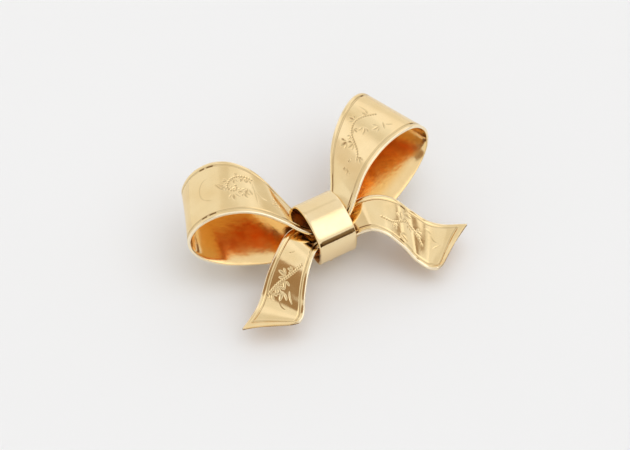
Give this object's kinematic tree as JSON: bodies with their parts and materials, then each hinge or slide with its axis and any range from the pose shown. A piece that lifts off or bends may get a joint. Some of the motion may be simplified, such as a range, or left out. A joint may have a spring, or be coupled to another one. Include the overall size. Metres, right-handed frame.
{
  "type": "ribbon bow fob brooch",
  "caption": "Engraved gold ribbon bow brooch with a hinged pin, a turning safety catch and a back hook for a fob watch.",
  "frame": {"origin": "centre of the bow's box, on the plane the catch lies on when the brooch rests on its back", "axes": "+X along the bow, +Y towards the loops and away from the tails, +Z out of the bow's front"},
  "size_m": [0.0428, 0.0302, 0.0138],
  "materials": {
    "ribbon_gold": "polished sheet gold with bright-cut engraving, brushed and darker inside the loops",
    "band_gold": "high polish with fine wear scratches",
    "findings_gold": "satin cast and soldered findings",
    "wire_gold": "drawn and polished wire"
  },
  "bodies": {
    "bow": {"left_loop": "ribbon_gold", "right_loop": "ribbon_gold", "left_tail": "ribbon_gold", "right_tail": "ribbon_gold", "knot_band": "band_gold", "knot_core": "findings_gold", "hinge_patch": "findings_gold", "hinge_bracket": "findings_gold", "hinge_rivet": "wire_gold", "catch_patch": "findings_gold", "catch_housing": "findings_gold", "hook_patch": "findings_gold", "watch_hook": "wire_gold"},
    "pin": {"pin_stem": "wire_gold"},
    "catch": {"catch_rotor": "findings_gold"}
  },
  "joints": [
    {"name": "pin_hinge", "type": "hinge", "parent": "bow", "child": "pin", "pos_m": [-0.01196, 0.0038, 0.00139], "axis": [0, 1, 0], "range_deg": [0, 110]},
    {"name": "catch_turn", "type": "hinge", "parent": "bow", "child": "catch", "pos_m": [0.01104, 0.0038, 0.00139], "axis": [1, 0, 0], "range_deg": [0, 75]}
  ]
}
